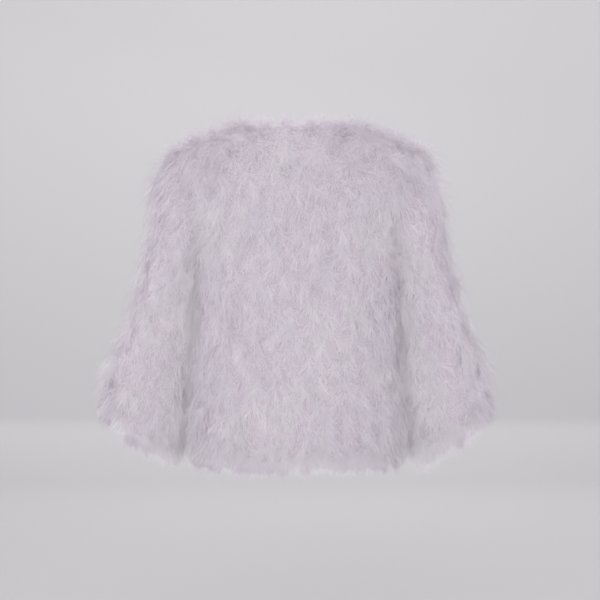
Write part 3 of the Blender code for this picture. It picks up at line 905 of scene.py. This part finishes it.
def barbShades(quill, base, points, rng):
    # tone by patch, plume and barb; height above the cloth in piles, which sets the painted shade low in the
    # pile, brought down to the rim's painted shade past an edge and on wisps
    above = np.sum((points - base["place"][:, :, None]) * base["normal"][:, :, None], axis=-1)
    heights = above / np.maximum(base["pile"], smallest)[..., None]
    heights = heights * np.where(quill["standing"], shade["standingHeight"], 1)[..., None]
    heights = heights / (1 - shade["edgeHeight"] * base["atEdge"])[..., None]
    # painted light: barbs in the groove between sleeve and body count as higher in the pile, so they are
    # coloured paler
    heights = heights + shade["groovePaintedLight"] * base["groove"]
    # painted shade: past an edge, in a standing row and on sideways wisps the colour is brought down to the
    # rim's greyer one; less of it in the groove, as painted light
    rimShade = base["pastHem"] / shade["hemFade"] + base["pastNeck"] / shade["neckFade"]
    rimShade = np.clip(rimShade, shade["standingRim"] * base["atNeck"] * quill["standing"], 1)
    rimShade = np.maximum(rimShade, shade["wispRim"] * base["wisp"] * base["sideways"])
    rimShade = rimShade[..., None] * shade["along"] * (1 - base["groove"])
    dimmed = shade["strongest"] * np.minimum(rimShade, 1)
    up = (shade["base"] + shade["gain"] * heights) * (1 - dimmed)
    spread = rng.normal(0, shade["toneSpread"], base["q"].shape)
    return patchTone(points[:, :, 3]) + quill["tone"] + spread, up


def plumeBarbs(panel, budget, rng):
    # all of a panel's barbs: four points each, a normal to shade them by, a tone, and each point's height
    quill = plumeQuills(panel, rng)
    base = barbRoots(panel, quill, budget // len(quill["row"]), rng)
    points, shading = barbBlades(panel, quill, base, barbCurves(quill, base, rng), rng)
    tone, up = barbShades(quill, base, points, rng)
    return points.reshape(-1, 4, 3), shading.reshape(-1, 3), tone.ravel(), up.reshape(-1, 4)


barbMap = {"tones": (0.03, 0.97), "heights": (0.02, 0.98), "width": 0.024}  # shares of the UV map


def barbMesh(name, points, shading, tone, up):
    # two triangles from a point to the widest place to a point, shaded near the cloth's own normal so that
    # the pile looks soft; the map has tone across and height up
    count = len(points)
    corners = np.array([0, 2, 1, 1, 2, 3])
    loops = (np.arange(count)[:, None] * 4 + corners).ravel()
    mesh = bpy.data.meshes.new(name)
    mesh.vertices.add(count * 4)
    mesh.loops.add(len(loops))
    mesh.polygons.add(count * barb["trianglesEach"])
    mesh.vertices.foreach_set("co", points.astype(np.float32).ravel())
    mesh.loops.foreach_set("vertex_index", loops.astype(np.int32))
    mesh.polygons.foreach_set("loop_start", np.arange(0, len(loops), 3, dtype=np.int32))
    across = np.clip(tone, *barbMap["tones"])[:, None] + barbMap["width"] * np.array([0.0, -0.5, 0.5, 0.0])
    uv = np.stack([across, np.clip(up, *barbMap["heights"])], axis=-1)[:, corners]
    mesh.uv_layers.new(name="OFBake").data.foreach_set("uv", uv.astype(np.float32).ravel())
    mesh.update(calc_edges=True)
    mesh.shade_smooth()
    mesh.normals_split_custom_set_from_vertices(np.repeat(shading, 4, axis=0).astype(np.float32))
    return mesh


downLayer = {
    "rise": 0.37,  # share of the pile that is felted
    "riseBesideArm": 0.49,  # there the two sides all but meet
    "relief": 0.35,
    "plumeWidth": 0.062,
    "plumeLength": 0.066,
    "domeHalfWidth": 0.66,  # in plume widths
    "domeHalfLength": 0.8,  # in plume lengths, as are the next two
    "domeMiddle": 0.62,  # down its row
    "shiftDown": 0.18,  # how far domes wander from their places, down and across, and whole rows
    "shiftAcross": 0.16,
    "shiftRow": 0.22,
    "overhangShare": 0.95,
    "tipShare": 0.25,  # of the thickness, left at the tips
    "offCloth": 0.0012,
    "edgeOffCloth": 0.0008,
    "openingShare": 0.1,  # of the gap between the fronts, left between their feathers
    "groovePaintedLight": 1.2,  # tone added as painted light, so the down between sleeve and body is paler
    "highestTone": 1.5,
}


def plumeRelief(wide, long):
    # the highest of overlapping domes in staggered rows, each a parabola both ways, shifted by sines of its
    # row and its place in it
    highest = np.zeros_like(wide)
    wide, long = wide / downLayer["plumeWidth"], long / downLayer["plumeLength"]
    row = np.floor(long)
    for rowStep in (-1, 0, 1):
        thisRow = row + rowStep
        shift = 0.5 * np.mod(thisRow, 2) + downLayer["shiftRow"] * np.sin(2.4 * thisRow)
        cell = np.round(wide - shift)
        for cellStep in (-1, 0, 1):
            thisCell = cell + cellStep
            x = wide - shift - thisCell
            x = x - downLayer["shiftAcross"] * np.sin(3.1 * thisCell + 1.7 * thisRow)
            y = long - thisRow - downLayer["domeMiddle"]
            y = y - downLayer["shiftDown"] * np.sin(2.3 * thisCell - 1.1 * thisRow)
            acrossDome = np.maximum(1 - (x / downLayer["domeHalfWidth"]) ** 2, 0)
            alongDome = np.maximum(1 - (y / downLayer["domeHalfLength"]) ** 2, 0)
            highest = np.maximum(highest, acrossDome * alongDome)
    return highest


def downSurface(base, clothPoints):
    # the feathers' base moved out by a share of the pile, less between plumes and at its tips past the open
    # edges. Its first and last rows are doubled, and one more at each end turns back to the cloth's own edge
    points = base["points"]
    wide = gridDistance(points, 1)
    middle = points.shape[1] // 2
    if base["closed"]:  # measured both ways from the outer arm, to the seam underneath
        wide = wide - wide[:, -1:] * (np.arange(points.shape[1]) > middle)
    else:
        wide = wide - wide[:, [middle]]
    raised = plumeRelief(wide, gridDistance(points, 0))
    rise = downLayer["rise"] + (downLayer["riseBesideArm"] - downLayer["rise"]) * base["sheltered"]
    hollow = downLayer["relief"] * (1 - raised) * (1 - base["sheltered"])
    thickness = 1 - (1 - downLayer["tipShare"]) * base["atEdge"]
    height = downLayer["offCloth"] + base["pile"] * rise * (1 - hollow) * thickness
    outer = points + base["normal"] * height[..., None]
    if base["facing"][1] < 0:  # at the opening the two fronts all but touch
        outer[:, 0, 0] *= downLayer["openingShare"]
    edges = clothPoints[[0, -1]] + base["normal"][[0, -1]] * downLayer["edgeOffCloth"]
    return np.concatenate([edges[:1], outer[:1], outer, outer[-1:], edges[1:]])


# Feathers: a felted layer of down on each panel, and plumes of barbs over it
for index, (panelName, panel) in enumerate(panels.items()):
    fine = finePanels[panelName]
    surface = downSurface(featherBase(fine, downFiner, downLayer["overhangShare"]), fine["points"])
    doubledRows = (1, len(surface) - 3)  # so that the turned edges stay sharp
    layerMesh = gridMesh(panelName + "Down", surface, fine, doubledRows)
    # painted light: the down between sleeve and body is made paler through its tone
    paintedLightShare = np.concatenate([fine["sheltered"][[0, 0]], fine["sheltered"], fine["sheltered"][[-1, -1]]])
    tones = np.clip(patchTone(surface) + downLayer["groovePaintedLight"] * paintedLightShare, 0, downLayer["highestTone"])
    if fine["closed"]:  # the last column is the first again
        tones = tones[:, :-1]
    tone = layerMesh.attributes.new("tone", "FLOAT", "POINT")
    tone.data.foreach_set("value", tones.astype(np.float32).ravel())
    layer = addPiece(panelName + "Down", layerMesh, downMaterial)
    node, _, barbTotal = panelParts[panelName]
    layerNodes = [node + "_feathers"] + [node + "_cap_feathers"] * panel["closed"]
    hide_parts(*layerNodes)
    rng = np.random.default_rng(plume["seed"] + index)
    barbs = plumeBarbs(featherBase(panel, 1, 1), barbTotal // (1), rng)
    barbCount = len(barbs[0])
    pieces = math.ceil(barbCount * barb["trianglesEach"] / barb["trianglesInPiece"])
    for k in range(pieces):
        name = panelName + "Plumes" + ("" if pieces == 1 else "AB"[k])
        part = slice(k * barbCount // pieces, (k + 1) * barbCount // pieces)
        addPiece(name, barbMesh(name, *(values[part] for values in barbs)), barbMaterial)
    print(panelName, "feathers made:", barbCount, "barbs")

studio = {
    "floorZ": -0.965,
    "wallY": -4.2,
    "wallHeight": 6.0,
    "frontY": 7.0,  # the floor's near edge, behind the camera
    "halfWidth": 9.0,
    "sweepHeight": 0.21,
    "sweepDepth": 0.6,
    "sweepSteps": 32,
    "roughness": 0.95,
    "floorColour": "#CDCCCE",
    "worldColour": "#DDDBDE",
    "worldStrength": 0.62,
}

# Backdrop: a floor that turns up into a wall through a quarter ellipse
turn = np.linspace(0, math.pi / 2, studio["sweepSteps"] + 1)
sweepY = studio["wallY"] + studio["sweepDepth"] * (1 - np.sin(turn))
sweepZ = studio["sweepHeight"] * (1 - np.cos(turn))
profileY = np.concatenate([[studio["frontY"]], sweepY, [studio["wallY"]]])
profileZ = np.concatenate([[0.0], sweepZ, [studio["wallHeight"]]]) + studio["floorZ"]
profile = np.stack([0 * profileY, profileY, profileZ], axis=-1)
sweepPoints = np.stack([profile + (x, 0, 0) for x in (-studio["halfWidth"], studio["halfWidth"])], axis=1)
sweepFaces = [(2 * k, 2 * k + 1, 2 * k + 3, 2 * k + 2) for k in range(len(profileY) - 1)]
sweepMesh = bpy.data.meshes.new("backdrop")
sweepMesh.from_pydata(sweepPoints.reshape(-1, 3), [], sweepFaces)
sweepMesh.shade_smooth()
backdrop = newObject("backdrop", sweepMesh)
# Studio paper: matt and even, with no gloss
paperMaterial, tree, shader = newMaterial("studioPaper", studio["roughness"], 0.0)
shader.inputs["Base Color"].default_value = linearColour(studio["floorColour"])
sweepMesh.materials.append(paperMaterial)

world = bpy.data.worlds.new("studioLight")
bpy.context.scene.world = world
world.use_nodes = True
allRound = world.node_tree.nodes["Background"]
allRound.inputs["Color"].default_value = linearColour(studio["worldColour"])
allRound.inputs["Strength"].default_value = studio["worldStrength"]

softboxes = {  # place, aim, size, watts, degrees of spread
    "keyBox": ((0.3, 3.6, 0.5), (0, 0, -0.3), 2.0, 72, 180),
    "sideBoxLeft": ((2.6, 0.9, 0.2), (0.2, 0, -0.3), 1.6, 10, 180),
    "sideBoxRight": ((-2.6, 0.9, 0.2), (-0.2, 0, -0.3), 1.6, 10, 180),
    "topBox": ((0.0, -0.9, 2.6), (0, -0.7, -0.9), 2.0, 30, 180),
    "frontBox": ((-0.4, -2.8, 2.2), (0, 0, -0.3), 2.4, 30, 180),
    "wallBox": ((0.0, -2.3, 1.9), (0, -4.2, 0.6), 1.8, 4.5, 110),
    "wallBoxLeft": ((3.2, -2.6, 1.3), (0, -4.2, 0.7), 1.8, 12, 110),
    "wallBoxRight": ((-3.2, -2.6, 1.3), (0, -4.2, 0.7), 1.8, 12, 110),
}
for name, (place, aim, size, watts, spread) in softboxes.items():
    light = bpy.data.lights.new(name, "AREA")
    light.size = size
    light.energy = watts
    light.spread = math.radians(spread)
    lamp = newObject(name, light)
    lamp.location = place
    away = np.array(place, float) - np.array(aim, float)
    lamp.rotation_euler = (math.acos(away[2] / np.linalg.norm(away)), 0, math.atan2(away[0], -away[1]))

# The photograph sees the jacket from behind: its right side is -X, and the wearer faces -Y
camera = {
    "distance": 3.2,
    "metresAcross": 1.05,  # width of the frame at the jacket's middle
    "centreX": -0.0052,
    "centreZ": -0.28,
    "sensor": 36.0,
}
lens = bpy.data.cameras.new("photoCamera")
lens.sensor_width = camera["sensor"]
lens.lens = camera["sensor"] * camera["distance"] / camera["metresAcross"]
viewer = newObject("photoCamera", lens)
viewer.location = (camera["centreX"], camera["distance"], camera["centreZ"])
viewer.rotation_euler = (math.pi / 2, 0, math.pi)
bpy.context.scene.camera = viewer
bpy.context.scene.view_settings.view_transform = "Standard"
print("studio and camera set")
